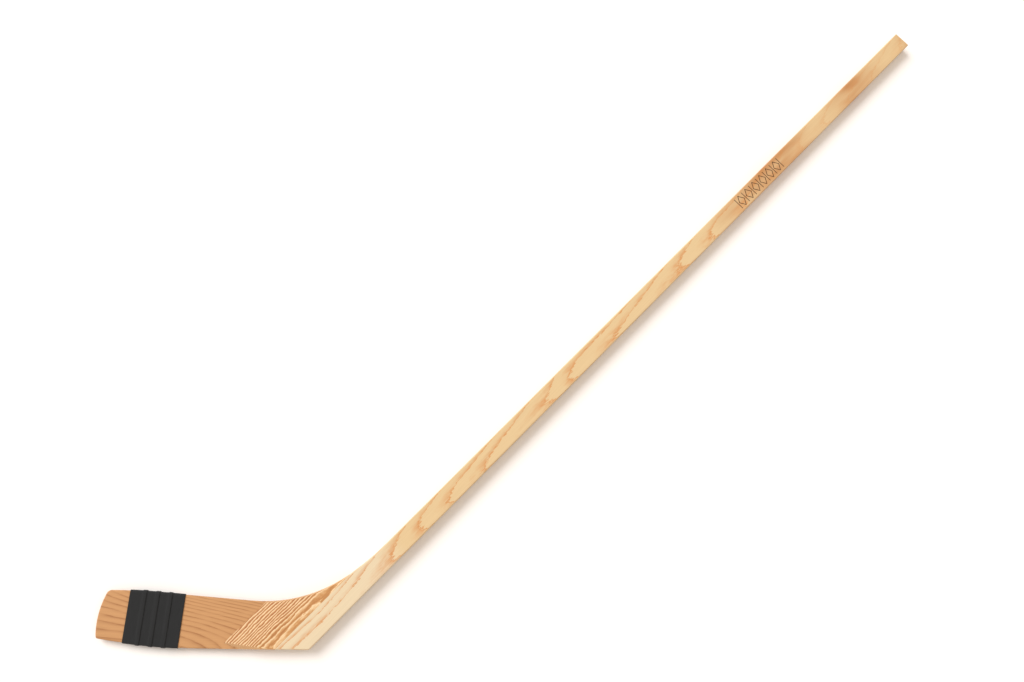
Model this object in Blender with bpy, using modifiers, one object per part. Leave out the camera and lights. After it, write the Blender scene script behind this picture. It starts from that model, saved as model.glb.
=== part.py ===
"""Wooden ice hockey stick: shaft, heel block, blade and blade tape, in metres with +Z up.

The stick lies on its back face. The shaft runs along +X to the butt, and the blade
leaves the heel towards -X and +Y. The plan outline of the whole stick is drawn once
and split along the glue line, the feather line and the end of the blade's tongue, so
neighbouring pieces always share one outline.

Plan points are first written from the heel corner, where the shaft's outer edge meets
the sole line. Along the sole, "station" is the distance from that corner towards the
toe, and "height" is the distance from the sole line towards the top edge.
"""
import math

import bmesh
import bpy
from mathutils import Matrix, Vector

# Shaft
SHAFT_LENGTH = 1.468          # heel corner to butt
SHAFT_WIDTH = 0.030           # across the front face
SHAFT_THICKNESS = 0.020       # front face to back face
RIM_RADIUS = 0.002            # rounding of the long edges
BUTT_RADIUS = 0.0008          # rounding of the square-cut butt
HEEL_RADIUS = 0.006           # heel corner in plan

# Blade
LIE_ANGLE = math.radians(133.3)      # shaft to sole line
BLADE_LENGTH = 0.3015                # heel corner to the foremost point of the toe
TOE_TOP_HEIGHT = 0.0794              # level part of the top edge above the sole line, at the toe
TOP_EDGE_SLOPE = math.radians(4.05)  # the rest of the top edge climbs to it
TOP_BEND_FROM_TOE = 0.0515           # where the climbing part and the level part would meet
TOP_BEND_RADIUS = 0.500
ROCKER_START = 0.150                 # station where the sole starts to lift
ROCKER_RADIUS = 0.930
TOE_RADIUS = 0.120                   # bow of the toe
TOE_BELLY_HEIGHT = 0.028             # height of the toe's foremost point
TOE_TOP_CORNER = 0.008
TOE_SOLE_CORNER = 0.004
BLADE_THICKNESS_HEEL = 0.0075        # at the end of the tongue
BLADE_THICKNESS_TOE = 0.0060
BLADE_RIM_RADIUS = 0.0018

# Throat, a compound curve from the blade's top edge into the shaft's inner edge
THROAT_RADIUS = 0.207
RUNOUT_RADIUS = 0.400
RUNOUT_TURN = math.radians(10.0)

# Heel joint
GLUE_LINE = 0.0205            # from the shaft's centre line, shaft to heel block
FEATHER_LINE = 0.079          # from the shaft's centre line, where the cheeks run out
TAPER_START = 0.031           # from the shaft's centre line, where the cheeks start to thin
TAPER_BLEND = 0.110           # radius that eases the flat cheek into its slope
CHEEK_LIP = 0.0006            # thickness left where a cheek runs out on the blade
EASE_LENGTH = 0.032           # along the sole, from the feather line back to the rasped facet's foot
EASE_ANGLE = math.radians(18.0)      # between that facet's foot and the sole line
EASE_PITCH = math.radians(30.0)      # steepness of the facet
TONGUE_END = 0.010            # station of the tongue's inner end
GLUE_GAP = 0.0003             # clearance between glued faces
TRIM_ALLOWANCE = 0.010        # heel wood left past the feather line until the edges are rounded

# Tape
TAPE_FROM_TOE = 0.0382        # toe-side edge of the winding, at the sole line
TAPE_LENGTH = 0.0778          # along the sole line, to its heel-side edge
TAPE_SLANT = math.radians(3.4)
TAPE_THICKNESS = 0.0013       # two or three layers of cloth tape

ARC_STEP = math.radians(4.0)  # about one outline point per this turn
PAST = 0.050                  # how far a cutter passes what it cuts

TOP_BEND_STATION = BLADE_LENGTH - TOP_BEND_FROM_TOE
TAPE_TOE_STATION = BLADE_LENGTH - TAPE_FROM_TOE
TAPE_HEEL_STATION = TAPE_TOE_STATION - TAPE_LENGTH
MID_HEIGHT = SHAFT_THICKNESS / 2
ALONG = Vector((math.cos(LIE_ANGLE), math.sin(LIE_ANGLE)))
ACROSS = Vector((math.sin(LIE_ANGLE), -math.cos(LIE_ANGLE)))
HEEL_CORNER = Vector((0.0, -SHAFT_WIDTH / 2))


def plan(station, height):
    """Plan point of a place given along and across the sole line."""
    return HEEL_CORNER + ALONG * station + ACROSS * height


def station_of(point):
    """Station along the sole line of a plan point or a mesh point."""
    return (Vector((point.x, point.y)) - HEEL_CORNER).dot(ALONG)


def arc(centre, radius, start, stop):
    """Points of an arc from one angle to another, both ends included."""
    count = max(2, math.ceil(abs(stop - start) / ARC_STEP))
    angles = [start + (stop - start) * i / count for i in range(count + 1)]
    return [centre + Vector((math.cos(a), math.sin(a))) * radius for a in angles]


def angle_of(vector):
    return math.atan2(vector.y, vector.x)


def rounded_corner(before, corner, after, radius):
    """Arc that replaces a corner, touching the lines towards its two neighbours."""
    a = (before - corner).normalized()
    b = (after - corner).normalized()
    half = a.angle(b) / 2
    centre = corner + (a + b).normalized() * (radius / math.sin(half))
    first = corner + a * (radius / math.tan(half)) - centre
    last = corner + b * (radius / math.tan(half)) - centre
    turn = math.remainder(angle_of(last) - angle_of(first), math.tau)
    return arc(centre, radius, angle_of(first), angle_of(first) + turn)


def circles_meet(centre_a, radius_a, centre_b, radius_b, side):
    """Where two circles cross, on the given side of the line from a to b."""
    line = centre_b - centre_a
    along = (line.length_squared + radius_a ** 2 - radius_b ** 2) / (2 * line.length)
    off = math.sqrt(radius_a ** 2 - along ** 2)
    unit = line.normalized()
    return centre_a + unit * along + Vector((-unit.y, unit.x)) * (off * side)


def line_meets_circle(point, direction, centre, radius):
    """The further of the two places where a line meets a circle."""
    nearest = (centre - point).dot(direction)
    off = (point + direction * nearest - centre).length
    return point + direction * (nearest + math.sqrt(radius ** 2 - off ** 2))


def sole_and_toe():
    """From the start of the sole to the top edge, in station and height."""
    rocker_centre = Vector((ROCKER_START, ROCKER_RADIUS))
    toe_centre = Vector((BLADE_LENGTH - TOE_RADIUS, TOE_BELLY_HEIGHT))
    climb = Vector((math.cos(TOP_EDGE_SLOPE), math.sin(TOP_EDGE_SLOPE)))
    top_bend = Vector((TOP_BEND_STATION, TOE_TOP_HEIGHT))
    toe_sole = circles_meet(rocker_centre, ROCKER_RADIUS, toe_centre, TOE_RADIUS, 1)
    toe_top = line_meets_circle(top_bend, Vector((1.0, 0.0)), toe_centre, TOE_RADIUS)

    lift = angle_of(toe_sole - rocker_centre) + math.pi / 2
    rocker = [rocker_centre + Vector((math.sin(lift * i / 8), -math.cos(lift * i / 8))) * ROCKER_RADIUS
              for i in range(8)]
    bow = arc(toe_centre, TOE_RADIUS, angle_of(toe_sole - toe_centre), angle_of(toe_top - toe_centre))
    bow = bow[1:-1]
    sole_corner = rounded_corner(rocker[-1], toe_sole, bow[0], TOE_SOLE_CORNER)
    top_corner = rounded_corner(bow[-1], toe_top, top_bend, TOE_TOP_CORNER)
    bend = rounded_corner(toe_top, top_bend, top_bend - climb, TOP_BEND_RADIUS)
    bow = [p for p in bow if sole_corner[-1].y < p.y < top_corner[0].y]
    return rocker + sole_corner + bow + top_corner + bend


def throat():
    """Compound curve from the top edge to the shaft's inner edge, in plan."""
    turn = math.pi - LIE_ANGLE + TOP_EDGE_SLOPE
    drop = THROAT_RADIUS * (math.cos(RUNOUT_TURN) - math.cos(turn))
    drop += RUNOUT_RADIUS * (1 - math.cos(RUNOUT_TURN))
    edge_point = plan(TOP_BEND_STATION, TOE_TOP_HEIGHT)
    heelward = Vector((math.cos(turn), -math.sin(turn)))
    start_y = SHAFT_WIDTH / 2 + drop
    start = edge_point + heelward * ((edge_point.y - start_y) / math.sin(turn))
    centre = start + Vector((math.sin(turn), math.cos(turn))) * THROAT_RADIUS
    down = -math.pi / 2
    tight = arc(centre, THROAT_RADIUS, down - turn, down - RUNOUT_TURN)
    reach = Vector((math.sin(RUNOUT_TURN), math.cos(RUNOUT_TURN))) * RUNOUT_RADIUS
    easy = arc(tight[-1] + reach, RUNOUT_RADIUS, down - RUNOUT_TURN, down)
    return tight + easy[1:]


def stick_outline():
    """Plan outline of the whole stick: outer edge, heel, sole, toe, top edge, throat, butt."""
    outer_butt = Vector((SHAFT_LENGTH, -SHAFT_WIDTH / 2))
    inner_butt = Vector((SHAFT_LENGTH, SHAFT_WIDTH / 2))
    sole = [plan(p.x, p.y) for p in sole_and_toe()]
    heel = rounded_corner(outer_butt, HEEL_CORNER, sole[0], HEEL_RADIUS)
    return [outer_butt] + heel + sole + throat() + [inner_butt]


def clipped(outline, point, inward):
    """The part of an outline on the inward side of a straight cut."""
    kept = []
    for here, following in zip(outline, outline[1:] + outline[:1]):
        depth_here = (here - point).dot(inward)
        depth_next = (following - point).dot(inward)
        if depth_here >= 0:
            kept.append(here)
        if (depth_here >= 0) != (depth_next >= 0):
            kept.append(here.lerp(following, depth_here / (depth_here - depth_next)))
    return kept


def grown(outline, distance):
    """A clockwise outline moved outwards by a distance, corner by corner."""
    moved = []
    for i, here in enumerate(outline):
        before = (here - outline[i - 1]).normalized()
        after = (outline[(i + 1) % len(outline)] - here).normalized()
        bisector = Vector((-before.y - after.y, before.x + after.x)).normalized()
        moved.append(here + bisector * (distance / max(0.3, bisector.dot(Vector((-after.y, after.x))))))
    return moved


def material(name, colour, roughness):
    finish = bpy.data.materials.new(name)
    finish.use_nodes = True
    shader = finish.node_tree.nodes["Principled BSDF"]
    shader.inputs["Base Color"].default_value = (*colour, 1.0)
    shader.inputs["Roughness"].default_value = roughness
    shader.inputs["Metallic"].default_value = 0.0
    finish.diffuse_color = (*colour, 1.0)
    return finish


def slab(name, outline, half_thickness, collection):
    """A flat outline as a filled 2D curve, extruded about mid height and made a mesh."""
    curve = bpy.data.curves.new(name, "CURVE")
    curve.dimensions = "2D"
    curve.fill_mode = "BOTH"
    curve.extrude = half_thickness
    spline = curve.splines.new("POLY")
    spline.points.add(len(outline) - 1)
    for point, place in zip(spline.points, outline):
        point.co = (place.x, place.y, 0.0, 1.0)
    spline.use_cyclic_u = True
    drawn = bpy.data.objects.new(name + "_outline", curve)
    drawn.location.z = MID_HEIGHT
    collection.objects.link(drawn)
    bpy.context.view_layer.update()
    mesh = bpy.data.meshes.new_from_object(drawn.evaluated_get(bpy.context.evaluated_depsgraph_get()))
    mesh.name = name
    mesh.transform(drawn.matrix_world)
    bpy.data.objects.remove(drawn)
    bpy.data.curves.remove(curve)
    bm = bmesh.new()
    bm.from_mesh(mesh)
    bmesh.ops.remove_doubles(bm, verts=bm.verts, dist=0.00001)
    bmesh.ops.dissolve_limit(bm, angle_limit=math.radians(0.1), verts=[], edges=bm.edges)
    bmesh.ops.recalc_face_normals(bm, faces=bm.faces)
    bm.to_mesh(mesh)
    bm.free()
    piece = bpy.data.objects.new(name, mesh)
    collection.objects.link(piece)
    return piece


def thin_towards_toe(piece, drawn_half, added):
    """Give a slab of the given half thickness the blade's taper, grown by the added amount."""
    for vertex in piece.data.vertices:
        share = (station_of(vertex.co) - TONGUE_END) / (BLADE_LENGTH - TONGUE_END)
        half = BLADE_THICKNESS_HEEL + (BLADE_THICKNESS_TOE - BLADE_THICKNESS_HEEL) * share
        vertex.co.z = MID_HEIGHT + (vertex.co.z - MID_HEIGHT) / drawn_half * (half / 2 + added)


def blade_half_at(station):
    share = (station - TONGUE_END) / (BLADE_LENGTH - TONGUE_END)
    return (BLADE_THICKNESS_HEEL + (BLADE_THICKNESS_TOE - BLADE_THICKNESS_HEEL) * share) / 2


def round_edges(piece, radius, weight_of, segments=3):
    """Bevel modifier whose width on each edge follows a weight from 0 to 1, then applied."""
    mesh = piece.data
    weights = mesh.attributes.new("bevel_weight_edge", "FLOAT", "EDGE")
    bm = bmesh.new()
    bm.from_mesh(mesh)
    layer = bm.edges.layers.float["bevel_weight_edge"]
    for edge in bm.edges:
        edge[layer] = weight_of(edge)
    bm.to_mesh(mesh)
    bm.free()
    bevel = piece.modifiers.new("Rounded edges", "BEVEL")
    bevel.limit_method = "WEIGHT"
    bevel.width = radius
    bevel.segments = segments
    bevel.use_clamp_overlap = False
    split = piece.modifiers.new("Flat faces", "TRIANGULATE")
    split.ngon_method = "BEAUTY"
    bake_modifiers(piece)


def bake_modifiers(piece):
    """Turn a piece and its modifiers into a plain mesh."""
    bpy.context.view_layer.update()
    graph = bpy.context.evaluated_depsgraph_get()
    baked = bpy.data.meshes.new_from_object(piece.evaluated_get(graph))
    piece.modifiers.clear()
    old = piece.data
    name = old.name
    piece.data = baked
    bpy.data.meshes.remove(old)
    baked.name = name


def combine(piece, other, operation):
    """Exact Boolean of a piece with a cutter."""
    cut = piece.modifiers.new(other.name, "BOOLEAN")
    cut.operation = operation
    cut.solver = "EXACT"
    cut.use_self = True
    cut.object = other


def cutter(piece):
    piece.hide_render = True
    piece.display_type = "WIRE"
    return piece


def is_rim(edge):
    """An edge where a front or back face meets a side wall."""
    if len(edge.link_faces) != 2:
        return False
    slopes = sorted(abs(face.normal.z) for face in edge.link_faces)
    return slopes[0] < 0.2 and slopes[1] > 0.8


def cheek_profile(side):
    """Section, in Y and height, of what is planed off one face of the heel."""
    edge_half = blade_half_at(station_of(Vector((0.0, FEATHER_LINE)))) + GLUE_GAP + CHEEK_LIP
    run = FEATHER_LINE - TAPER_START
    fall = SHAFT_THICKNESS / 2 - edge_half
    reach = math.hypot(run, TAPER_BLEND - fall)
    slope = math.asin(TAPER_BLEND / reach) - math.atan2(TAPER_BLEND - fall, run)
    eased = [Vector((TAPER_START + TAPER_BLEND * math.sin(slope * i / 6),
                     SHAFT_THICKNESS / 2 - TAPER_BLEND * (1 - math.cos(slope * i / 6))))
             for i in range(7)]
    lead_in = eased[0] * 2 - eased[1]
    end = Vector((FEATHER_LINE + PAST, edge_half - PAST * math.tan(slope)))
    lifted = [Vector((end.x, SHAFT_THICKNESS)), Vector((lead_in.x, SHAFT_THICKNESS))]
    return [Vector((p.x, p.y * side)) for p in [lead_in] + eased + [end] + lifted]


def planed_off(side, collection):
    """Cutter along X that thins one face of the heel towards the feather line."""
    name = "front_planing" if side > 0 else "back_planing"
    length = SHAFT_LENGTH / 4 + BLADE_LENGTH
    piece = slab(name, cheek_profile(side), length, collection)
    for vertex in piece.data.vertices:
        y, z, x = vertex.co.x, vertex.co.y, vertex.co.z - MID_HEIGHT
        vertex.co = (x, y, z + MID_HEIGHT)
    recalculate(piece)
    return cutter(piece)


def rasped_off(side, collection):
    """Cutter for the facet that runs a cheek's sole-side corner down to the blade."""
    foot = ALONG * math.cos(EASE_ANGLE) + ACROSS * math.sin(EASE_ANGLE)
    heelward = Vector((-foot.y, foot.x)) * math.copysign(1.0, Vector((-foot.y, foot.x)).dot(ACROSS))
    feather_station = (FEATHER_LINE + SHAFT_WIDTH / 2) / math.sin(LIE_ANGLE)
    foot_station = feather_station - EASE_LENGTH
    level = blade_half_at(foot_station) + GLUE_GAP
    along_foot = Vector((*foot, 0.0))
    outward = Vector((*-heelward * math.sin(EASE_PITCH), side * math.cos(EASE_PITCH)))
    sideways = outward.cross(along_foot)
    place = Matrix((along_foot, sideways, outward)).transposed().to_4x4()
    place.translation = Vector((*plan(foot_station, 0.0), MID_HEIGHT + side * level)) + outward * PAST
    bm = bmesh.new()
    bmesh.ops.create_cube(bm, size=2 * PAST, matrix=place)
    mesh = bpy.data.meshes.new("rasp_cut")
    bm.to_mesh(mesh)
    bm.free()
    piece = bpy.data.objects.new("front_rasping" if side > 0 else "back_rasping", mesh)
    collection.objects.link(piece)
    recalculate(piece)
    return cutter(piece)


def recalculate(piece):
    bm = bmesh.new()
    bm.from_mesh(piece.data)
    bmesh.ops.recalc_face_normals(bm, faces=bm.faces)
    bm.to_mesh(piece.data)
    bm.free()


def halved(source, name, point, inward, collection):
    """Copy of a solid, kept on the inward side of an upright plane and closed there."""
    bm = bmesh.new()
    bm.from_mesh(source.data)
    result = bmesh.ops.bisect_plane(bm, geom=bm.verts[:] + bm.edges[:] + bm.faces[:], dist=0.000001,
                                    plane_co=(*point, 0.0), plane_no=(*-inward, 0.0), clear_outer=True)
    rim = [e for e in result["geom_cut"] if isinstance(e, bmesh.types.BMEdge)]
    bmesh.ops.holes_fill(bm, edges=rim, sides=0)
    bmesh.ops.recalc_face_normals(bm, faces=bm.faces)
    mesh = bpy.data.meshes.new(name)
    bm.to_mesh(mesh)
    bm.free()
    piece = bpy.data.objects.new(name, mesh)
    collection.objects.link(piece)
    return piece


def make_handle(outline, collection, cutters):
    """Shaft and heel block: planed, rounded and rasped as one, then parted at the glue line."""
    shaftward = Vector((0.0, -1.0))
    sawn_line = FEATHER_LINE + TRIM_ALLOWANCE
    sawn = clipped(outline, Vector((0.0, sawn_line)), shaftward)
    blank = cutter(slab("sawn_handle", sawn, SHAFT_THICKNESS / 2, cutters))
    for side in (1, -1):
        combine(blank, planed_off(side, cutters), "DIFFERENCE")
    bake_modifiers(blank)

    def weight(edge):
        middle = (edge.verts[0].co + edge.verts[1].co) / 2
        if middle.x > SHAFT_LENGTH - 0.00001:
            return BUTT_RADIUS / RIM_RADIUS
        if middle.y > sawn_line - 0.00001 or not is_rim(edge):
            return 0.0
        return 1.0

    round_edges(blank, RIM_RADIUS, weight)
    shaped = cutter(halved(blank, "shaped_handle", Vector((0.0, FEATHER_LINE)), shaftward, cutters))
    for side in (1, -1):
        combine(shaped, rasped_off(side, cutters), "DIFFERENCE")
    bake_modifiers(shaped)
    below = Vector((0.0, GLUE_LINE - GLUE_GAP / 2))
    above = Vector((0.0, GLUE_LINE + GLUE_GAP / 2))
    shaft = halved(shaped, "shaft", below, shaftward, collection)
    block = halved(shaped, "heel_block", above, -shaftward, collection)

    corners = [(TONGUE_END - GLUE_GAP, -PAST), (TONGUE_END - GLUE_GAP, SHAFT_LENGTH / 4),
               (BLADE_LENGTH, SHAFT_LENGTH / 4), (BLADE_LENGTH, -PAST)]
    half = BLADE_THICKNESS_HEEL / 2
    slot = cutter(slab("tongue_slot", [plan(*c) for c in corners], half, cutters))
    thin_towards_toe(slot, half, GLUE_GAP)
    for piece in (shaft, block):
        combine(piece, slot, "DIFFERENCE")
    return shaft, block


def blade_solid(name, outline, added, is_rounded, collection):
    """The blade's body over an outline, grown in thickness and rounding by an added amount."""
    half = BLADE_THICKNESS_HEEL / 2
    piece = slab(name, outline, half, collection)
    thin_towards_toe(piece, half, added)
    round_edges(piece, BLADE_RIM_RADIUS + added, lambda edge: float(is_rim(edge) and is_rounded(edge)))
    return piece


def past_feather(edge):
    """Only the bare blade is rounded: the tongue keeps square edges inside the heel."""
    return (edge.verts[0].co.y + edge.verts[1].co.y) / 2 > FEATHER_LINE


def with_points_at(outline, level):
    """The outline with a point added wherever it crosses a line parallel to the shaft."""
    points = []
    for here, following in zip(outline, outline[1:] + outline[:1]):
        points.append(here)
        if (here.y - level) * (following.y - level) < 0:
            points.append(here.lerp(following, (level - here.y) / (following.y - here.y)))
    return points


def make_blade(outline, collection):
    """Blade and tongue in one piece."""
    shape = with_points_at(clipped(outline, plan(TONGUE_END, 0.0), ALONG), FEATHER_LINE)
    return blade_solid("blade", shape, 0.0, past_feather, collection)


def make_tape(outline, collection, cutters):
    """Closed sleeve round the blade, between two slightly slanting edges."""
    lean = ALONG * math.cos(TAPE_SLANT) + ACROSS * math.sin(TAPE_SLANT)
    bare = clipped(outline, plan(TAPE_HEEL_STATION - PAST / 2, 0.0), ALONG)
    over_tape = GLUE_GAP + TAPE_THICKNESS
    band = clipped(grown(bare, over_tape), plan(TAPE_HEEL_STATION, 0.0), lean)
    band = clipped(band, plan(TAPE_TOE_STATION, 0.0), -lean)

    def wraps_blade(edge):
        wall = min(edge.link_faces, key=lambda face: abs(face.normal.z))
        return abs(Vector(wall.normal.xy).dot(lean)) < 0.7

    sleeve = blade_solid("blade_tape", band, over_tape, wraps_blade, collection)
    core = blade_solid("taped_blade", grown(bare, GLUE_GAP), GLUE_GAP, past_feather, cutters)
    combine(sleeve, cutter(core), "DIFFERENCE")
    return sleeve


def main():
    for thing in list(bpy.data.objects):
        bpy.data.objects.remove(thing)
    scene_collection = bpy.context.scene.collection
    stick = bpy.data.collections.new("ice_hockey_stick")
    cutters = bpy.data.collections.new("cutters")
    scene_collection.children.link(stick)
    scene_collection.children.link(cutters)

    outline = stick_outline()
    shaft, block = make_handle(outline, stick, cutters)
    blade = make_blade(outline, stick)
    tape = make_tape(outline, stick, cutters)

    finishes = {
        shaft: material("ash_shaft", (0.78, 0.56, 0.31), 0.45),
        block: material("ash_heel_block", (0.64, 0.38, 0.19), 0.45),
        blade: material("ash_blade", (0.62, 0.36, 0.17), 0.45),
        tape: material("black_cloth_tape", (0.035, 0.035, 0.034), 0.85),
    }
    low = Vector((min(p.x for p in outline), min(p.y for p in outline)))
    high = Vector((max(p.x for p in outline), max(p.y for p in outline)))
    rest_point = bpy.data.objects.new("rest_point", None)
    scene_collection.objects.link(rest_point)
    rest_point.location = (-(low.x + high.x) / 2, -(low.y + high.y) / 2, 0.0)
    for piece, finish in finishes.items():
        piece.data.materials.append(finish)
        piece.parent = rest_point
        piece.data.shade_smooth()
        piece.data.set_sharp_from_angle(angle=math.radians(35))
    for piece in cutters.objects:
        piece.parent = rest_point


main()
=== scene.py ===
import math

import bmesh
import bpy
from mathutils import Euler, Matrix, Vector


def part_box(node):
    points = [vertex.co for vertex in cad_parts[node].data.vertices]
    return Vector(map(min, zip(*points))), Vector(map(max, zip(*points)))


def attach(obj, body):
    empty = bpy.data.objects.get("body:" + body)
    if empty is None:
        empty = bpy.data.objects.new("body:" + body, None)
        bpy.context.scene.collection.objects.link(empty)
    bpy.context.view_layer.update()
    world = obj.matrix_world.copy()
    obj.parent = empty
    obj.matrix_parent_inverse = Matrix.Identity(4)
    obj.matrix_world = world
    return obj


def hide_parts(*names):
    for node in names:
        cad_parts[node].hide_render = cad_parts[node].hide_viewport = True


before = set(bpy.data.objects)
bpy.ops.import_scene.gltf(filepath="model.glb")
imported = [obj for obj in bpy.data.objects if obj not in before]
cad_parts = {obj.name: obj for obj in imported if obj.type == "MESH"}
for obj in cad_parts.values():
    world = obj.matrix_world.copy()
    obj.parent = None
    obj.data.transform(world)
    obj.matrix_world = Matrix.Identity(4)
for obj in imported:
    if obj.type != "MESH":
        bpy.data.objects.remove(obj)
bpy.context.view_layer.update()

bl_info = {
    "name": "Wooden Ice Hockey Stick",
    "version": (1, 0, 0),
    "blender": (4, 5, 0),
    "location": "View3D > Sidebar > Stick",
    "description": "Dresses the packed hockey stick in ash, cloth tape and a burned band",
    "category": "Object",
}

SHAFT_LOW, SHAFT_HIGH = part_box("shaft")
BUTT = SHAFT_HIGH.x
FRONT = SHAFT_HIGH.z
MID_HEIGHT = (SHAFT_LOW.z + SHAFT_HIGH.z) / 2

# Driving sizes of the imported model, in metres
SHAFT_LENGTH = 1.468
SHAFT_WIDTH = 0.030
LIE_ANGLE = math.radians(133.3)
BLADE_LENGTH = 0.3015
TOE_TOP_HEIGHT = 0.0794
TOP_EDGE_SLOPE = math.radians(4.05)
TOP_BEND_STATION = BLADE_LENGTH - 0.0515
TOP_BEND_RADIUS = 0.500
ROCKER_START = 0.150
ROCKER_RADIUS = 0.930
BLADE_THICKNESS_HEEL = 0.0075
BLADE_THICKNESS_TOE = 0.0060
BLADE_RIM_RADIUS = 0.0018
TONGUE_END = 0.010
GLUE_LINE = 0.0205
GLUE_GAP = 0.0003

HEEL_CORNER = Vector((BUTT - SHAFT_LENGTH, SHAFT_LOW.y, 0.0))
CENTRE_LINE = SHAFT_LOW.y + SHAFT_WIDTH / 2
ALONG = Vector((math.cos(LIE_ANGLE), math.sin(LIE_ANGLE), 0.0))
ACROSS = Vector((math.sin(LIE_ANGLE), -math.cos(LIE_ANGLE), 0.0))

# How close points of a copied CAD skin are merged, how flat its faces join, and where it shades sharply
MERGE_DISTANCE = 0.00001
FLAT_ENOUGH = math.radians(0.5)
SHARP_EDGE = math.radians(35)
# Share of the glue gap that the heel block closes, so that no dark line shows beside the shaft
GLUE_FILL = 0.9

# Growth of the shaft: where its rings reach the front face, as the share of the way between the curve's
# two ends in X and the share of all the rings that are passed there. The offset is a share of one ring
CURVE_HEEL_END = -0.66
CURVE_BUTT_END = 0.84
RING_COUNT = 16.0
RING_OFFSET = -0.1
RING_OUTCROPS = ((0.0, 0.0), (0.0667, 0.0044), (0.14, 0.0544), (0.1773, 0.1169), (0.22, 0.1794),
                 (0.28, 0.2419), (0.365, 0.3044), (0.4, 0.3669), (0.49, 0.4294), (0.581, 0.4919),
                 (0.633, 0.5544), (0.7, 0.62), (0.8, 0.75), (0.9, 0.88), (1.0, 1.0))
# The arch of the shaft's rings: its highest line, off the centre line towards the outer edge, and its
# fall in rings per square metre
FLAME_CREST = 0.004
SHAFT_ARCH = -2000.0
# The lean of the shaft's rings, in rings per metre across, swings along the shaft. The swing repeats
# after a length in metres, and starts at a phase in radians
LEAN_MEAN = -20.0
LEAN_SWING = -18.0
LEAN_REPEAT = 0.33
LEAN_START = -1.43
# Slow waves and ragged edges of the layers, in rings
SHAFT_WAVES = 0.25
SHAFT_RAGS = 0.42
HEEL_WAVES = 2.2
HEEL_RAGS = 0.6
BLADE_WAVES = 1.0
BLADE_RAGS = 0.12
# The layers of the heel block tip by this many rings per metre away from the shaft
HEEL_TIP = -90.0
# The stripes of the heel block are faint at the first distance from the centre line, full at the second
STRIPES_FAINT = 0.024
STRIPES_FULL = 0.046
# The blade's lines close up with height squared, and dive with the distance from the toe squared
# as long as they are under the level height
LINE_CLOSING = 8500.0
LINE_DIVE = 140.0
LEVEL_HEIGHT = 0.080
# Soft early wood lies this much lower than the fibres stand out
EARLY_WOOD_DEPTH = 0.6
FIBRE_RELIEF = 0.0001
# Drawn width of a fibre, in millimetres
FIBRE_WIDTH = 1.111

# Tape: gap under the cloth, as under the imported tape
CLEAR_OF_WOOD = 0.0003
# A turn starts to step down this far before the edge of the turn under it, over this distance
STEP_START = 0.0006
STEP_RUN = 0.0016
# The last turn ends on the back, short by this share of a turn
UNWOUND_TURN = 0.35
# Fineness of the wound mesh
STEPS_PER_TURN = 120
STEPS_ACROSS = 18
# Scale at which a wave texture repeats once per unit
WAVE_REPEAT = math.pi / 10
WEAVE_RELIEF = 0.0001

# Band: thickness of the burned lines, half of it above the wood. Bars and lozenges differ, so that
# their tops don't share a plane where they cross
BAR_HEIGHT = 0.0001
SIDE_HEIGHT = 0.00012
# Share of a line's width by which it runs past its ends
STROKE_PAST = 0.6
# Share of the step left free on each side of a lozenge
LOZENGE_MARGIN = 0.16

# Stage: the floor lies just under the stick's back face
FLOOR_HALF_SIZE = 60.0
FLOOR_DROP = 0.0002
# The light comes from the blade's side, at this bearing from +X and height over the floor
KEY_BEARING = math.radians(99.7276)
KEY_HEIGHT = math.radians(42.9013)
KEY_DISTANCE = 2.0
# The camera stands over the lower end of the shaft, placed from the heel corner and the centre line
CAMERA_ALONG = 0.12863
CAMERA_ACROSS = -0.03748
CAMERA_HEIGHT = 1.55536
# Turned so that the shaft climbs to the upper right
CAMERA_TURN = Euler((math.radians(14.2806), math.radians(-7.0459), math.radians(-45.7101)))


def linear(code):
    """Turn an sRGB hex colour such as "F0CC98" into linear red, green and blue."""
    shares = [int(code[i:i + 2], 16) / 255 for i in (0, 2, 4)]
    return tuple(s / 12.92 if s <= 0.04045 else ((s + 0.055) / 1.055) ** 2.4 for s in shares)


def colour(name, description, code):
    """A colour setting whose default is an sRGB hex code."""
    return bpy.props.FloatVectorProperty(name=name, description=description, default=linear(code),
                                         subtype="COLOR", size=3, min=0.0, max=1.0)


def length(name, description, default):
    """A length setting in metres."""
    return bpy.props.FloatProperty(name=name, description=description, default=default,
                                   min=0.0, unit="LENGTH", subtype="DISTANCE", precision=5)


class StickWood(bpy.types.PropertyGroup):
    """Colours and ring spacings of the three pieces of ash."""

    shaft_ground: colour("Shaft", "Late wood between the flames of the shaft", "D1B88D")
    shaft_cream: colour("Shaft near heel", "Paler sapwood at the lower end of the shaft", "D5C5A6")
    shaft_brown: colour("Shaft heartwood", "Smoky brown patches towards the butt", "B4804F")
    shaft_flame: colour("Shaft flame", "Early wood where a ring crops out on the shaft", "C28145")
    shaft_ring: length("Shaft ring", "Thickness of a year's growth in the shaft", 0.002)
    heel_ground: colour("Heel block", "Late wood of the heel block", "C89861")
    heel_cream: colour("Heel cream", "Brightest late wood of the heel block", "E8D1AA")
    heel_stripe: colour("Heel stripe", "Early wood of the heel block", "94572B")
    heel_ring: length("Heel ring", "Thickness of a year's growth in the heel block", 0.00068)
    blade_ground: colour("Blade", "Late wood of the blade", "BE8F60")
    blade_line: colour("Blade line", "Early wood of the blade", "99683F")
    blade_ring: length("Blade ring", "Distance between the grain lines at the toe", 0.0105)


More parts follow.
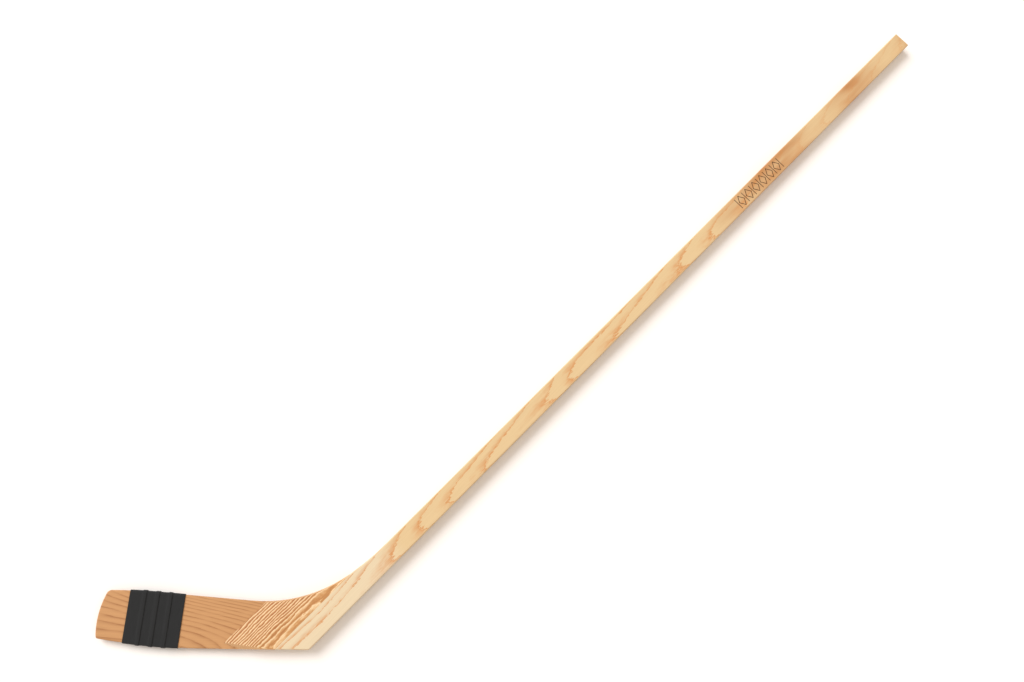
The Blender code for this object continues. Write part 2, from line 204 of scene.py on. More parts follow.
class StickTape(bpy.types.PropertyGroup):
    """Cloth tape wound round the blade."""

    width: length("Width", "Width of the tape on the roll", 0.0235)
    pitch: length("Pitch", "Advance of each turn along the blade", 0.0181)
    thickness: length("Thickness", "Thickness of the doubled cloth", 0.0008)
    front_advance: length("Front advance", "Part of the pitch made on the front face", 0.0046)
    start: length("Start", "Station of the first turn's heel-side edge", 0.1810)
    turns: bpy.props.IntProperty(name="Turns", description="Turns seen on the front",
                                 default=4, min=1, max=12)
    thread: length("Thread", "Distance between threads of the weave", 0.0009)
    colour: colour("Cloth", "Dyed cotton", "222426")


class StickBand(bpy.types.PropertyGroup):
    """Ornament burned into the front of the shaft."""

    start: length("Start", "From the heel corner to the first bar", 0.996)
    step: length("Step", "From one lozenge to the next", 0.0188)
    count: bpy.props.IntProperty(name="Lozenges", description="Number of lozenges",
                                 default=6, min=1, max=20)
    width: length("Width", "Reach across the shaft", 0.0200)
    stroke: length("Stroke", "Width of a burned line", 0.0012)
    colour: colour("Char", "Scorched wood", "4A3626")


class StickStage(bpy.types.PropertyGroup):
    """Floor, light and camera."""

    floor: colour("Floor", "Matt paper", "F4F4F4")
    key: bpy.props.FloatProperty(name="Key", description="Strength of the far soft box",
                                 default=2.55, min=0.0)
    key_spread: bpy.props.FloatProperty(name="Key spread",
                                        description="How wide the soft box looks from the stick",
                                        default=math.radians(38.0), subtype="ANGLE", min=0.0)
    surround: colour("Surround", "Warm walls of the studio", "FFF1E4")
    sky: bpy.props.FloatProperty(name="Sky", description="Strength of the warm surround",
                                 default=0.80, min=0.0)
    lens: bpy.props.FloatProperty(name="Lens", description="Focal length in millimetres",
                                  default=35.16, min=1.0, unit="CAMERA")


def add_node(tree, kind, inputs=None, output=0, **settings):
    """Add a node, set its properties, feed its inputs with sockets or plain values, and give one output."""
    node = tree.nodes.new(kind)
    for name, value in settings.items():
        setattr(node, name, value)
    for key, value in (inputs or {}).items():
        if isinstance(value, bpy.types.NodeSocket):
            tree.links.new(value, node.inputs[key])
        else:
            node.inputs[key].default_value = value
    return node.outputs[output]


def shape_curve(node, points):
    """Give a float curve its points."""
    curve = node.mapping.curves[0]
    while len(curve.points) > 2:
        curve.points.remove(curve.points[1])
    curve.points[0].location = points[0]
    curve.points[1].location = points[-1]
    for point in points[1:-1]:
        curve.points.new(*point)
    node.mapping.update()


def shape_ramp(node, stops):
    """Give a colour ramp grey stops: place and brightness."""
    ramp = node.color_ramp
    while len(ramp.elements) > 1:
        ramp.elements.remove(ramp.elements[-1])
    ramp.elements[0].position = stops[0][0]
    ramp.elements[0].color = (stops[0][1],) * 3 + (1.0,)
    for position, grey in stops[1:]:
        ramp.elements.new(position).color = (grey,) * 3 + (1.0,)


def new_material(name, **shader_values):
    """A material with a Principled shader, its uniform values set on the shader's own sockets."""
    finish = bpy.data.materials.new(name)
    finish.use_nodes = True
    tree = finish.node_tree
    shader = tree.nodes["Principled BSDF"]
    for key, value in shader_values.items():
        socket = key.replace("_", " ").title().replace("Ior", "IOR")
        shader.inputs[socket].default_value = value
    return finish, tree, shader


def opaque(rgb):
    """The same colour with full alpha."""
    return (*rgb, 1.0)


def patches_of(*sizes):
    """Scale of a pattern whose patches have these sizes in millimetres along X, Y and Z."""
    return tuple(1000.0 / size for size in sizes)


def finish_wood(tree, shader, colours, figure, place, fibre_length, fibre_contrast):
    """Streak the colour with fibres, and give them an uneven gloss and a relief over the soft early wood.

    The fibres are drawn a millimetre wide, coarser than real ones, so that they show."""
    fibre_place = add_node(tree, "ShaderNodeMapping",
                           {"Vector": place, "Scale": patches_of(fibre_length, FIBRE_WIDTH, FIBRE_WIDTH)})
    streaks = add_node(tree, "ShaderNodeTexNoise",
                       {"Vector": fibre_place, "Scale": 1.0, "Detail": 4.0, "Roughness": 0.65})
    fibre_tone = add_node(tree, "ShaderNodeMapRange",
                          {"Value": streaks, "From Min": 0.3, "From Max": 0.7,
                           "To Min": fibre_contrast[0], "To Max": fibre_contrast[1]})
    base = add_node(tree, "ShaderNodeVectorMath", {0: colours, "Scale": fibre_tone}, operation="SCALE")
    tree.links.new(base, shader.inputs["Base Color"])
    gloss = add_node(tree, "ShaderNodeMapRange",
                     {"Value": streaks, "From Min": 0.3, "From Max": 0.7, "To Min": 0.42, "To Max": 0.55})
    tree.links.new(gloss, shader.inputs["Roughness"])
    hollows = add_node(tree, "ShaderNodeMath", {0: figure, 1: EARLY_WOOD_DEPTH}, operation="MULTIPLY")
    height = add_node(tree, "ShaderNodeMath", {0: streaks, 1: hollows}, operation="SUBTRACT")
    bump = add_node(tree, "ShaderNodeBump", {"Height": height, "Distance": FIBRE_RELIEF, "Strength": 0.5})
    tree.links.new(bump, shader.inputs["Normal"])


def shaft_ash(wood):
    """Flat-sawn white ash, planed, sanded and oiled: long pointed flames on the faces, straight grain on
    the sides.

    Each ring is a gently arched layer. It crops out on the front face where the layers run out along the
    shaft, which gives an orange flame with one sharp edge. The sides cut the layers nearly square."""
    finish, tree, shader = new_material("flat_sawn_ash_oiled", specular_ior_level=0.35)
    place = add_node(tree, "ShaderNodeTexCoord", output=3)
    centred = add_node(tree, "ShaderNodeMapping",
                       {"Vector": place, "Location": (0.0, FLAME_CREST - CENTRE_LINE, -FRONT)})
    x = add_node(tree, "ShaderNodeSeparateXYZ", {"Vector": centred}, output=0)
    y = x.node.outputs[1]
    z = x.node.outputs[2]

    # Rings cropping out along the shaft, counted from the heel
    share = add_node(tree, "ShaderNodeMapRange",
                     {"Value": x, "From Min": CURVE_HEEL_END, "From Max": CURVE_BUTT_END})
    run_out = add_node(tree, "ShaderNodeFloatCurve", {"Value": share})
    shape_curve(run_out.node, RING_OUTCROPS)
    rings_along = add_node(tree, "ShaderNodeMath", {0: run_out, 1: RING_COUNT, 2: RING_OFFSET},
                           operation="MULTIPLY_ADD")

    # The layers arch across the shaft and lean to one side by an amount that swings along it
    arch = add_node(tree, "ShaderNodeMath", {0: y, 1: y}, operation="MULTIPLY")
    wave = add_node(tree, "ShaderNodeMath", {0: x, 1: math.tau / LEAN_REPEAT, 2: LEAN_START},
                    operation="MULTIPLY_ADD")
    sway = add_node(tree, "ShaderNodeMath", {0: wave}, operation="COSINE")
    lean = add_node(tree, "ShaderNodeMath", {0: sway, 1: LEAN_SWING, 2: LEAN_MEAN}, operation="MULTIPLY_ADD")
    leaning = add_node(tree, "ShaderNodeMath", {0: lean, 1: y}, operation="MULTIPLY")
    across = add_node(tree, "ShaderNodeMath", {0: arch, 1: SHAFT_ARCH, 2: leaning}, operation="MULTIPLY_ADD")
    depth = add_node(tree, "ShaderNodeMath", {0: z, 1: 1.0 / wood.shaft_ring, 2: across},
                     operation="MULTIPLY_ADD")

    # Slow waves of the layers, and the ragged edge that the fibres give each flame
    slow_place = add_node(tree, "ShaderNodeMapping",
                          {"Vector": place, "Scale": patches_of(55.56, 11.11, 16.67)})
    slow = add_node(tree, "ShaderNodeTexNoise", {"Vector": slow_place, "Scale": 1.0, "Detail": 1.0})
    ragged_place = add_node(tree, "ShaderNodeMapping",
                            {"Vector": place, "Scale": patches_of(11.11, 1.923, 5.0)})
    ragged = add_node(tree, "ShaderNodeTexNoise", {"Vector": ragged_place, "Scale": 1.0, "Detail": 2.0})
    waves = add_node(tree, "ShaderNodeMath", {0: slow, 1: SHAFT_WAVES, 2: depth}, operation="MULTIPLY_ADD")
    edges = add_node(tree, "ShaderNodeMath", {0: ragged, 1: SHAFT_RAGS, 2: waves}, operation="MULTIPLY_ADD")
    rings = add_node(tree, "ShaderNodeMath", {0: edges, 1: rings_along}, operation="ADD")
    phase = add_node(tree, "ShaderNodeMath", {0: rings}, operation="FRACT")

    # Early wood darkens in blotches up to a sharp line, and is fainter in the brown part near the butt
    blotch = add_node(tree, "ShaderNodeValToRGB", {"Fac": phase})
    shape_ramp(blotch.node, ((0.0, 0.3), (0.03, 0.0), (0.5, 0.0), (0.75, 0.3), (0.97, 0.65), (1.0, 0.5)))
    patches_place = add_node(tree, "ShaderNodeMapping",
                             {"Vector": place, "Scale": patches_of(22.22, 7.692, 7.692)})
    patches = add_node(tree, "ShaderNodeTexNoise", {"Vector": patches_place, "Scale": 1.0, "Detail": 3.0})
    uneven = add_node(tree, "ShaderNodeMapRange",
                      {"Value": patches, "From Min": 0.38, "From Max": 0.58, "To Min": 0.25, "To Max": 1.0})
    blotches = add_node(tree, "ShaderNodeMath", {0: blotch, 1: uneven}, operation="MULTIPLY")
    line = add_node(tree, "ShaderNodeValToRGB", {"Fac": phase})
    shape_ramp(line.node, ((0.0, 0.5), (0.02, 0.0), (0.91, 0.0), (0.97, 0.85), (1.0, 0.85)))
    sharpened = add_node(tree, "ShaderNodeMath", {0: blotches, 1: line}, operation="MAXIMUM")
    faded = add_node(tree, "ShaderNodeMapRange",
                     {"Value": share, "From Min": 0.68, "From Max": 0.74, "To Min": 1.0, "To Max": 0.4})
    flame = add_node(tree, "ShaderNodeMath", {0: sharpened, 1: faded}, operation="MULTIPLY")

    # Ground colour: cream at the heel, tan along the shaft, smoky brown patches near the butt
    tint = add_node(tree, "ShaderNodeValToRGB", {"Fac": share})
    shape_ramp(tint.node, ((0.12, 0.0), (0.15, 1.0)))
    ground = add_node(tree, "ShaderNodeMix",
                      {0: tint, 6: opaque(wood.shaft_cream), 7: opaque(wood.shaft_ground)},
                      output=2, data_type="RGBA")
    heart = add_node(tree, "ShaderNodeValToRGB", {"Fac": share})
    shape_ramp(heart.node, ((0.63, 0.0), (0.67, 0.5), (0.70, 0.7), (0.74, 1.0), (0.765, 0.95),
                            (0.79, 0.6), (0.815, 0.25), (0.84, 0.15), (0.857, 0.3), (0.89, 0.9),
                            (0.907, 0.85), (0.923, 0.5), (0.945, 0.2), (0.973, 0.1), (0.985, 0.2),
                            (0.995, 0.5)))
    patchy = add_node(tree, "ShaderNodeMapRange",
                      {"Value": slow, "To Min": 0.15, "To Max": 1.35}, clamp=False)
    brown = add_node(tree, "ShaderNodeMath", {0: heart, 1: patchy}, operation="MULTIPLY", use_clamp=True)
    warmed = add_node(tree, "ShaderNodeMix", {0: brown, 6: ground, 7: opaque(wood.shaft_brown)},
                      output=2, data_type="RGBA")
    flamed = add_node(tree, "ShaderNodeMix", {0: flame, 6: warmed, 7: opaque(wood.shaft_flame)},
                      output=2, data_type="RGBA")
    finish_wood(tree, shader, flamed, flame, place, 71.43, (0.95, 1.04))
    return finish


def heel_ash(wood):
    """Slow-grown ash, planed across its flat layers: the slope of the cheek cuts them into close wavy
    stripes.

    The layers are under a millimetre each and lie nearly flat. Where the cheek is level they give broad
    faint blotches, and where it slopes down to the blade they crop out as dark and cream stripes."""
    finish, tree, shader = new_material("slow_grown_ash_oiled", specular_ior_level=0.35)
    place = add_node(tree, "ShaderNodeTexCoord", output=3)
    z = add_node(tree, "ShaderNodeSeparateXYZ", {"Vector": place}, output=2)
    y = z.node.outputs[1]
    slow_place = add_node(tree, "ShaderNodeMapping",
                          {"Vector": place, "Scale": patches_of(50.0, 16.67, 25.0)})
    slow = add_node(tree, "ShaderNodeTexNoise",
                    {"Vector": slow_place, "Scale": 1.0, "Detail": 2.5, "Roughness": 0.55})
    ragged_place = add_node(tree, "ShaderNodeMapping",
                            {"Vector": place, "Scale": patches_of(6.25, 2.0, 3.333)})
    ragged = add_node(tree, "ShaderNodeTexNoise", {"Vector": ragged_place, "Scale": 1.0, "Detail": 2.0})
    flat_layers = add_node(tree, "ShaderNodeMath", {0: z, 1: 1.0 / wood.heel_ring}, operation="MULTIPLY")
    layers = add_node(tree, "ShaderNodeMath", {0: y, 1: HEEL_TIP, 2: flat_layers}, operation="MULTIPLY_ADD")
    waves = add_node(tree, "ShaderNodeMath", {0: slow, 1: HEEL_WAVES, 2: layers}, operation="MULTIPLY_ADD")
    rings = add_node(tree, "ShaderNodeMath", {0: ragged, 1: HEEL_RAGS, 2: waves}, operation="MULTIPLY_ADD")
    phase = add_node(tree, "ShaderNodeMath", {0: rings}, operation="FRACT")
    early = add_node(tree, "ShaderNodeValToRGB", {"Fac": phase})
    shape_ramp(early.node, ((0.0, 0.35), (0.10, 0.0), (0.45, 0.12), (0.68, 0.55), (0.86, 1.0), (1.0, 0.6)))
    calm = add_node(tree, "ShaderNodeMapRange",
                    {"Value": y, "From Min": CENTRE_LINE + STRIPES_FAINT,
                     "From Max": CENTRE_LINE + STRIPES_FULL, "To Min": 0.5, "To Max": 1.0})
    stripe = add_node(tree, "ShaderNodeMath", {0: early, 1: calm}, operation="MULTIPLY")
    bright = add_node(tree, "ShaderNodeValToRGB", {"Fac": phase})
    shape_ramp(bright.node, ((0.02, 0.0), (0.14, 0.9), (0.36, 0.5), (0.6, 0.0)))
    ground = add_node(tree, "ShaderNodeMix",
                      {0: bright, 6: opaque(wood.heel_ground), 7: opaque(wood.heel_cream)},
                      output=2, data_type="RGBA")
    striped = add_node(tree, "ShaderNodeMix", {0: stripe, 6: ground, 7: opaque(wood.heel_stripe)},
                       output=2, data_type="RGBA")
    finish_wood(tree, shader, striped, stripe, place, 50.0, (0.95, 1.04))
    return finish


def blade_ash(wood):
    """Rift-sawn ash, planed and oiled: thin darker lines along the blade that bend down to the sole at
    the heel."""
    finish, tree, shader = new_material("rift_sawn_ash_oiled", specular_ior_level=0.35)
    place = add_node(tree, "ShaderNodeTexCoord", output=3)
    # Station along the sole and height above it stand in for X and Y
    from_heel = add_node(tree, "ShaderNodeVectorMath", {0: place, 1: HEEL_CORNER}, operation="SUBTRACT")
    station = add_node(tree, "ShaderNodeVectorMath", {0: from_heel, 1: ALONG}, output=1,
                       operation="DOT_PRODUCT")
    height = add_node(tree, "ShaderNodeVectorMath", {0: from_heel, 1: ACROSS}, output=1,
                      operation="DOT_PRODUCT")
    thickness = add_node(tree, "ShaderNodeSeparateXYZ", {"Vector": place}, output=2)
    moved = add_node(tree, "ShaderNodeCombineXYZ", {"X": station, "Y": height, "Z": thickness})

    # Grain lines are level at the toe; heelward they close up along the top edge and dive lower down
    from_toe = add_node(tree, "ShaderNodeMath", {0: BLADE_LENGTH, 1: station}, operation="SUBTRACT")
    squared = add_node(tree, "ShaderNodeMath", {0: height, 1: height}, operation="MULTIPLY")
    closing = add_node(tree, "ShaderNodeMath", {0: squared, 1: from_toe}, operation="MULTIPLY")
    below = add_node(tree, "ShaderNodeMath", {0: height, 1: -1.0 / LEVEL_HEIGHT, 2: 1.0},
                     operation="MULTIPLY_ADD")
    distant = add_node(tree, "ShaderNodeMath", {0: from_toe, 1: from_toe}, operation="MULTIPLY")
    diving = add_node(tree, "ShaderNodeMath", {0: distant, 1: below}, operation="MULTIPLY")
    even = add_node(tree, "ShaderNodeMath", {0: height, 1: 1.0 / wood.blade_ring}, operation="MULTIPLY")
    closed = add_node(tree, "ShaderNodeMath", {0: closing, 1: LINE_CLOSING, 2: even},
                      operation="MULTIPLY_ADD")
    dived = add_node(tree, "ShaderNodeMath", {0: diving, 1: LINE_DIVE, 2: closed}, operation="MULTIPLY_ADD")
    slow_place = add_node(tree, "ShaderNodeMapping",
                          {"Vector": moved, "Scale": patches_of(111.1, 25.0, 25.0)})
    slow = add_node(tree, "ShaderNodeTexNoise", {"Vector": slow_place, "Scale": 1.0, "Detail": 2.0})
    ragged_place = add_node(tree, "ShaderNodeMapping",
                            {"Vector": moved, "Scale": patches_of(12.5, 1.667, 3.333)})
    ragged = add_node(tree, "ShaderNodeTexNoise", {"Vector": ragged_place, "Scale": 1.0, "Detail": 2.0})
    waves = add_node(tree, "ShaderNodeMath", {0: slow, 1: BLADE_WAVES, 2: dived}, operation="MULTIPLY_ADD")
    rings = add_node(tree, "ShaderNodeMath", {0: ragged, 1: BLADE_RAGS, 2: waves}, operation="MULTIPLY_ADD")
    phase = add_node(tree, "ShaderNodeMath", {0: rings}, operation="FRACT")
    early = add_node(tree, "ShaderNodeValToRGB", {"Fac": phase})
    shape_ramp(early.node, ((0.0, 0.45), (0.08, 0.12), (0.3, 0.0), (0.6, 0.10), (0.84, 0.5), (0.95, 1.0),
                            (1.0, 0.8)))
    faint_place = add_node(tree, "ShaderNodeMapping",
                           {"Vector": moved, "Scale": patches_of(45.45, 9.091, 16.67)})
    faint = add_node(tree, "ShaderNodeTexNoise", {"Vector": faint_place, "Scale": 1.0, "Detail": 2.0})
    uneven = add_node(tree, "ShaderNodeMapRange",
                      {"Value": faint, "From Min": 0.35, "From Max": 0.62, "To Min": 0.3, "To Max": 1.0})
    line = add_node(tree, "ShaderNodeMath", {0: early, 1: uneven}, operation="MULTIPLY")
    lined = add_node(tree, "ShaderNodeMix",
                     {0: line, 6: opaque(wood.blade_ground), 7: opaque(wood.blade_line)},
                     output=2, data_type="RGBA")
    finish_wood(tree, shader, lined, line, moved, 71.43, (0.93, 1.06))
    return finish


def cotton_tape(tape, run):
    """Waxed cotton hockey tape, woven and dyed black: matt, with a plain weave and a faint sheen of loose
    fibre.

    The threads are drawn about twice as far apart as real ones, so that the weave shows."""
    finish, tree, shader = new_material("black_cotton_cloth_tape", roughness=0.85, sheen_weight=0.12,
                                        sheen_roughness=0.5, specular_ior_level=0.25)
    flat = add_node(tree, "ShaderNodeUVMap", uv_map="UVMap")
    threads = add_node(tree, "ShaderNodeMapping",
                       {"Vector": flat, "Scale": (run / tape.thread, tape.width / tape.thread, 1.0)})
    warp = add_node(tree, "ShaderNodeTexWave", {"Vector": threads, "Scale": WAVE_REPEAT}, output=1,
                    bands_direction="X")
    weft = add_node(tree, "ShaderNodeTexWave", {"Vector": threads, "Scale": WAVE_REPEAT}, output=1,
                    bands_direction="Y")
    weave = add_node(tree, "ShaderNodeMath", {0: warp, 1: weft}, operation="ADD")
    wear_place = add_node(tree, "ShaderNodeMapping", {"Vector": threads, "Scale": (0.05, 0.9, 1.0)})
    wear = add_node(tree, "ShaderNodeTexNoise", {"Vector": wear_place, "Scale": 1.0, "Detail": 3.0})
    # Painted shade: the gaps between the threads are darker than the raised threads. Rubbed patches are
    # lighter again
    thread_gap_shade = add_node(tree, "ShaderNodeMapRange", {"Value": weave, "To Min": 0.55, "To Max": 0.67},
                          clamp=False)
    worn_tone = add_node(tree, "ShaderNodeMapRange", {"Value": wear, "To Max": 0.6}, clamp=False)
    tone = add_node(tree, "ShaderNodeMath", {0: thread_gap_shade, 1: worn_tone}, operation="ADD")
    base = add_node(tree, "ShaderNodeVectorMath", {0: tape.colour, "Scale": tone}, operation="SCALE")
    tree.links.new(base, shader.inputs["Base Color"])
    bump = add_node(tree, "ShaderNodeBump", {"Height": weave, "Distance": WEAVE_RELIEF, "Strength": 0.6})
    tree.links.new(bump, shader.inputs["Normal"])
    return finish


def charred_line(band):
    """Ash scorched by a hot iron: matt brown-black, in patches of a millimetre or two where the iron
    pressed less."""
    finish, tree, shader = new_material("scorched_ash", roughness=0.75, specular_ior_level=0.2)
    place = add_node(tree, "ShaderNodeTexCoord", output=3)
    patches = add_node(tree, "ShaderNodeTexNoise", {"Vector": place, "Scale": 700.0, "Detail": 3.0})
    tone = add_node(tree, "ShaderNodeMapRange",
                    {"Value": patches, "From Min": 0.3, "From Max": 0.7, "To Min": 0.65, "To Max": 1.35})
    base = add_node(tree, "ShaderNodeVectorMath", {0: band.colour, "Scale": tone}, operation="SCALE")
    tree.links.new(base, shader.inputs["Base Color"])
    return finish


def studio_paper(stage):
    """Matt white background paper: a plain pale ground with a barely visible pulp texture, drawn at
    2.5 mm so that it can show at all."""
    finish, tree, shader = new_material("white_studio_paper", roughness=0.9, specular_ior_level=0.1)
    place = add_node(tree, "ShaderNodeTexCoord", output=3)
    pulp = add_node(tree, "ShaderNodeTexNoise", {"Vector": place, "Scale": 400.0, "Detail": 2.0})
    tone = add_node(tree, "ShaderNodeMapRange", {"Value": pulp, "To Min": 0.995, "To Max": 1.005})
    base = add_node(tree, "ShaderNodeVectorMath", {0: stage.floor, "Scale": tone}, operation="SCALE")
    tree.links.new(base, shader.inputs["Base Color"])
    return finish


def new_piece(bm, name, finish):
    """Turn a bmesh into a smooth-shaded object whose place is in its mesh."""
    mesh = bpy.data.meshes.new(name)
    bm.to_mesh(mesh)
    bm.free()
    mesh.shade_smooth()
    mesh.set_sharp_from_angle(angle=SHARP_EDGE)
    mesh.materials.append(finish)
    piece = bpy.data.objects.new(name, mesh)
    bpy.context.scene.collection.objects.link(piece)
    return piece


def merged_copy(node):
    """The CAD node's shape as one closed skin with clean flat faces."""
    bm = bmesh.new()
    bm.from_mesh(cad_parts[node].data)
    bmesh.ops.remove_doubles(bm, verts=bm.verts, dist=MERGE_DISTANCE)
    bmesh.ops.dissolve_limit(bm, angle_limit=FLAT_ENOUGH, verts=[], edges=bm.edges)
    return bm


def keep_faces_flat(piece):
    """Let the large faces set the normals, so that only the rounded edges shade as round."""
    weighted = piece.modifiers.new("Flat faces", "WEIGHTED_NORMAL")
    weighted.weight = 100
    weighted.keep_sharp = True


def join_stick(piece, node):
    """Let a piece move with the stick, in place of its CAD node."""
    keep_faces_flat(piece)
    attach(piece, "root")
    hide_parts(node)


def blade_limits(station):
    """Heights of the blade's sole and top edge above the sole line, and half its thickness there."""
    lift = max(0.0, station - ROCKER_START)
    low = ROCKER_RADIUS - math.sqrt(ROCKER_RADIUS ** 2 - lift ** 2)
    reach = TOP_BEND_RADIUS * math.tan(TOP_EDGE_SLOPE / 2)
    bent = max(0.0, reach - abs(station - TOP_BEND_STATION))
    high = TOE_TOP_HEIGHT - max(0.0, TOP_BEND_STATION - station) * math.tan(TOP_EDGE_SLOPE)
    high -= bent ** 2 / (2 * TOP_BEND_RADIUS)
    share = (station - TONGUE_END) / (BLADE_LENGTH - TONGUE_END)
    half = (BLADE_THICKNESS_HEEL + (BLADE_THICKNESS_TOE - BLADE_THICKNESS_HEEL) * share) / 2
    return low, high, half


def heading_vector(angle):
    """Direction in a cross-section, as a unit vector."""
    return Vector((math.cos(angle), math.sin(angle)))


def blade_section(station, turn, proud):
    """A point of the blade's rounded outline at a station, and how long that outline is.

    The turn runs from the middle of the top edge, down the front, round the sole and up the back.
    The point stands proud of the outline by the given distance."""
    low, high, half = blade_limits(station)
    flat_half = half - BLADE_RIM_RADIUS
    face = high - low - 2 * BLADE_RIM_RADIUS
    corner = BLADE_RIM_RADIUS * math.pi / 2
    # Straight runs and quarter rounds in order: length, and whether the run turns
    runs = ((flat_half, False), (corner, True), (face, False), (corner, True), (2 * flat_half, False),
            (corner, True), (face, False), (corner, True), (flat_half, False))
    around = sum(run for run, bends in runs)
    left = (turn % 1.0) * around
    point = Vector((high, 0.0))
    heading = math.pi / 2
    for run, bends in runs:
        part = min(left, run)
        if bends:
            centre = point + heading_vector(heading + math.pi / 2) * BLADE_RIM_RADIUS
            heading += part / BLADE_RIM_RADIUS
            point = centre - heading_vector(heading + math.pi / 2) * BLADE_RIM_RADIUS
        else:
            point = point + heading_vector(heading) * part
        left -= part
        if left <= 0:
            break
    point += heading_vector(heading - math.pi / 2) * proud
    return point, around


def wound_point(tape, turn, across):
    """Place of the tape's point after that many turns, at a share across its width from 0 to 1."""
    whole = math.floor(turn)
    part = turn - whole
    # The tape advances a little on the front half of a turn and makes up the pitch on the back half
    on_front = min(1.0, part * 2)
    on_back = max(0.0, part * 2 - 1.0)
    advance = on_front * tape.front_advance + on_back * (tape.pitch - tape.front_advance)
    station = tape.start + whole * tape.pitch + advance + across * tape.width
    # A turn lies on the one before it by the overlap, then steps down to the wood
    overlap = tape.width - tape.pitch
    past_step = (across * tape.width - overlap + STEP_START) / STEP_RUN
    on_last_turn = 1.0 - min(1.0, max(0.0, past_step))
    # Half a layer brings the surface to the middle of the cloth, which is thickened both ways
    layers = 0.5 + (on_last_turn if whole > 0 else 0.0)
    point = blade_section(station, turn, CLEAR_OF_WOOD + layers * tape.thickness)[0]
    place = HEEL_CORNER + ALONG * station + ACROSS * point.x
    place.z = MID_HEIGHT + point.y
    return place


class STICK_OT_shaft(bpy.types.Operator):
    """Dress the shaft in flat-sawn ash."""

    bl_idname = "stick.shaft"
    bl_label = "Shaft"

    def execute(self, context):
        piece = new_piece(merged_copy("shaft"), "ash_shaft", shaft_ash(context.scene.stick_wood))
        join_stick(piece, "shaft")
        return {"FINISHED"}


class STICK_OT_heel_block(bpy.types.Operator):
    """Dress the heel block in slow-grown ash."""

    bl_idname = "stick.heel_block"
    bl_label = "Heel Block"

    def execute(self, context):
        bm = merged_copy("heel_block")
        glued = [v for v in bm.verts if abs(v.co.y - CENTRE_LINE - GLUE_LINE) < 2 * GLUE_GAP]
        bmesh.ops.translate(bm, verts=glued, vec=(0.0, -GLUE_FILL * GLUE_GAP, 0.0))
        piece = new_piece(bm, "ash_heel_block", heel_ash(context.scene.stick_wood))
        join_stick(piece, "heel_block")
        return {"FINISHED"}


class STICK_OT_blade(bpy.types.Operator):
    """Dress the blade in rift-sawn ash."""

    bl_idname = "stick.blade"
    bl_label = "Blade"

    def execute(self, context):
        piece = new_piece(merged_copy("blade"), "ash_blade", blade_ash(context.scene.stick_wood))
        join_stick(piece, "blade")
        return {"FINISHED"}


class STICK_OT_tape(bpy.types.Operator):
    """Wind cloth tape round the blade, each turn over the edge of the one before."""

    bl_idname = "stick.tape"
    bl_label = "Blade Tape"

    def execute(self, context):
        tape = context.scene.stick_tape
        turns = tape.turns - UNWOUND_TURN
        around = blade_section(tape.start, 0.0, 0.0)[1]
        run = turns * around
        bm = bmesh.new()
        bm.loops.layers.uv.new("UVMap")
        bmesh.ops.create_grid(bm, x_segments=round(turns * STEPS_PER_TURN), y_segments=STEPS_ACROSS,
                              size=0.5, calc_uvs=True)
        for vertex in bm.verts:
            vertex.co = wound_point(tape, (vertex.co.x + 0.5) * turns, vertex.co.y + 0.5)
        bmesh.ops.recalc_face_normals(bm, faces=bm.faces)
        piece = new_piece(bm, "cloth_tape_winding", cotton_tape(tape, run))
        piece.data.shade_smooth()
        layer = piece.modifiers.new("Doubled cloth", "SOLIDIFY")
        layer.thickness = tape.thickness
        layer.offset = 0.0
        join_stick(piece, "blade_tape")
        return {"FINISHED"}


def stroke(bm, start, end, width, height):
    """A burned line between two points of the front face."""
    middle = (start + end) / 2
    direction = (end - start).normalized()
    turn = Matrix.Rotation(math.atan2(direction.y, direction.x), 4, "Z")
    size = Matrix.Diagonal(((end - start).length + width * STROKE_PAST, width, height, 1.0))
    bmesh.ops.create_cube(bm, size=1.0, matrix=Matrix.Translation(middle) @ turn @ size)


class STICK_OT_band(bpy.types.Operator):
    """Burn a band of lozenges and bars into the front of the shaft."""

    bl_idname = "stick.band"
    bl_label = "Burned Band"

    def execute(self, context):
        band = context.scene.stick_band
        origin = Vector((HEEL_CORNER.x + band.start, CENTRE_LINE, FRONT))
        up = Vector((0.0, band.width / 2, 0.0))
        step = Vector((band.step, 0.0, 0.0))
        bm = bmesh.new()
        for i in range(band.count + 1):
            foot = origin + step * i
            stroke(bm, foot - up, foot + up, band.stroke, BAR_HEIGHT)
            if i < band.count:
                left = foot + step * LOZENGE_MARGIN
                right = foot + step * (1.0 - LOZENGE_MARGIN)
                top = foot + step * 0.5 + up
                bottom = foot + step * 0.5 - up
                for start, end in ((left, top), (top, right), (right, bottom), (bottom, left)):
                    stroke(bm, start, end, band.stroke, SIDE_HEIGHT)
        piece = new_piece(bm, "burned_band", charred_line(band))
        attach(piece, "root")
        return {"FINISHED"}


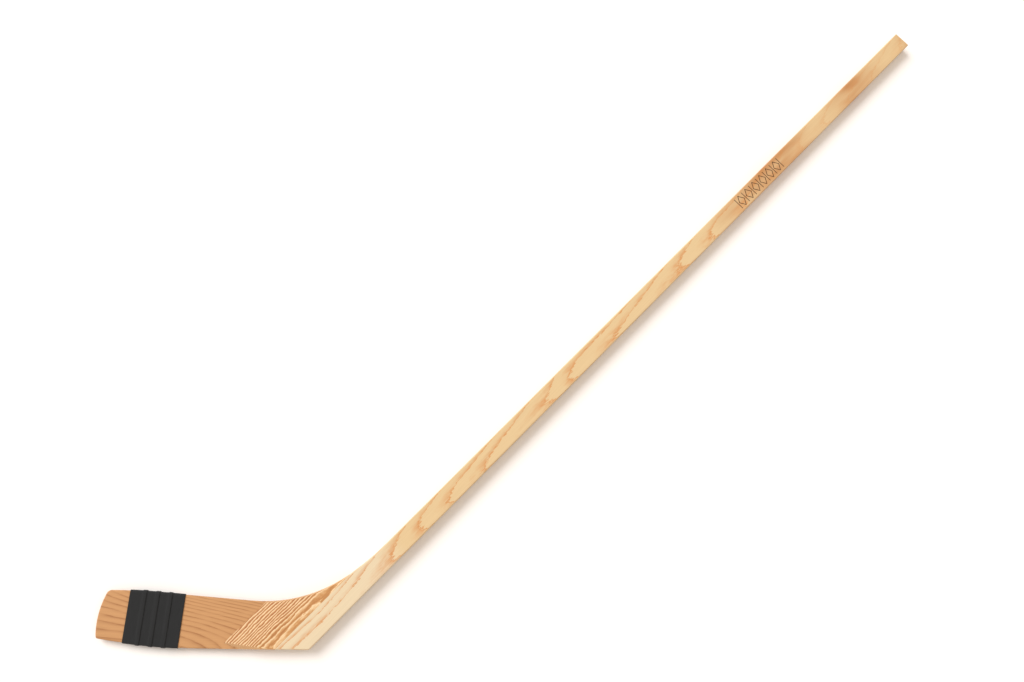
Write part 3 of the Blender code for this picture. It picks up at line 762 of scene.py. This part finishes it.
class STICK_OT_stage(bpy.types.Operator):
    """Set up the paper floor, the soft light and the camera."""

    bl_idname = "stick.stage"
    bl_label = "Stage"

    def execute(self, context):
        stage = context.scene.stick_stage
        bm = bmesh.new()
        bmesh.ops.create_grid(bm, x_segments=1, y_segments=1, size=FLOOR_HALF_SIZE,
                              matrix=Matrix.Translation((0.0, 0.0, -FLOOR_DROP)))
        floor = new_piece(bm, "paper_floor", studio_paper(stage))

        surround = bpy.data.worlds.new("warm_surround")
        surround.use_nodes = True
        walls = surround.node_tree.nodes["Background"]
        walls.inputs["Color"].default_value = opaque(stage.surround)
        walls.inputs["Strength"].default_value = stage.sky
        context.scene.world = surround

        lamp = bpy.data.lights.new("far_soft_box", "SUN")
        lamp.energy = stage.key
        lamp.angle = stage.key_spread
        key = bpy.data.objects.new("far_soft_box", lamp)
        level = Vector((math.cos(KEY_BEARING), math.sin(KEY_BEARING), math.tan(KEY_HEIGHT)))
        towards = level.normalized()
        key.location = towards * KEY_DISTANCE
        key.rotation_mode = "QUATERNION"
        key.rotation_quaternion = towards.to_track_quat("Z", "Y")
        context.scene.collection.objects.link(key)

        optics = bpy.data.cameras.new("camera")
        optics.lens = stage.lens
        optics.clip_start = 0.05
        optics.clip_end = 50.0
        camera = bpy.data.objects.new("camera", optics)
        camera.location = (HEEL_CORNER.x + CAMERA_ALONG, CENTRE_LINE + CAMERA_ACROSS, CAMERA_HEIGHT)
        camera.rotation_euler = CAMERA_TURN
        context.scene.collection.objects.link(camera)
        context.scene.camera = camera
        context.scene.view_settings.view_transform = "Standard"
        return {"FINISHED"}


class STICK_PT_build(bpy.types.Panel):
    """Lists the steps of the stick's looks."""

    bl_label = "Hockey Stick"
    bl_idname = "STICK_PT_build"
    bl_space_type = "VIEW_3D"
    bl_region_type = "UI"
    bl_category = "Stick"

    def draw(self, context):
        for step in STEPS:
            self.layout.operator(step.bl_idname)
        for pointer in GROUPS:
            box = self.layout.box()
            group = getattr(context.scene, pointer)
            for name in GROUPS[pointer].__annotations__:
                box.prop(group, name)


GROUPS = {"stick_wood": StickWood, "stick_tape": StickTape, "stick_band": StickBand,
          "stick_stage": StickStage}
STEPS = (STICK_OT_shaft, STICK_OT_heel_block, STICK_OT_blade, STICK_OT_tape, STICK_OT_band, STICK_OT_stage)


def register():
    for group in (*GROUPS.values(), *STEPS, STICK_PT_build):
        bpy.utils.register_class(group)
    for name, group in GROUPS.items():
        setattr(bpy.types.Scene, name, bpy.props.PointerProperty(type=group))


def unregister():
    for name in GROUPS:
        delattr(bpy.types.Scene, name)
    for group in reversed((*GROUPS.values(), *STEPS, STICK_PT_build)):
        bpy.utils.unregister_class(group)


def main():
    register()
    bpy.ops.stick.shaft()
    bpy.ops.stick.heel_block()
    bpy.ops.stick.blade()
    bpy.ops.stick.tape()
    bpy.ops.stick.band()
    bpy.ops.stick.stage()


if __name__ == "__main__":
    main()
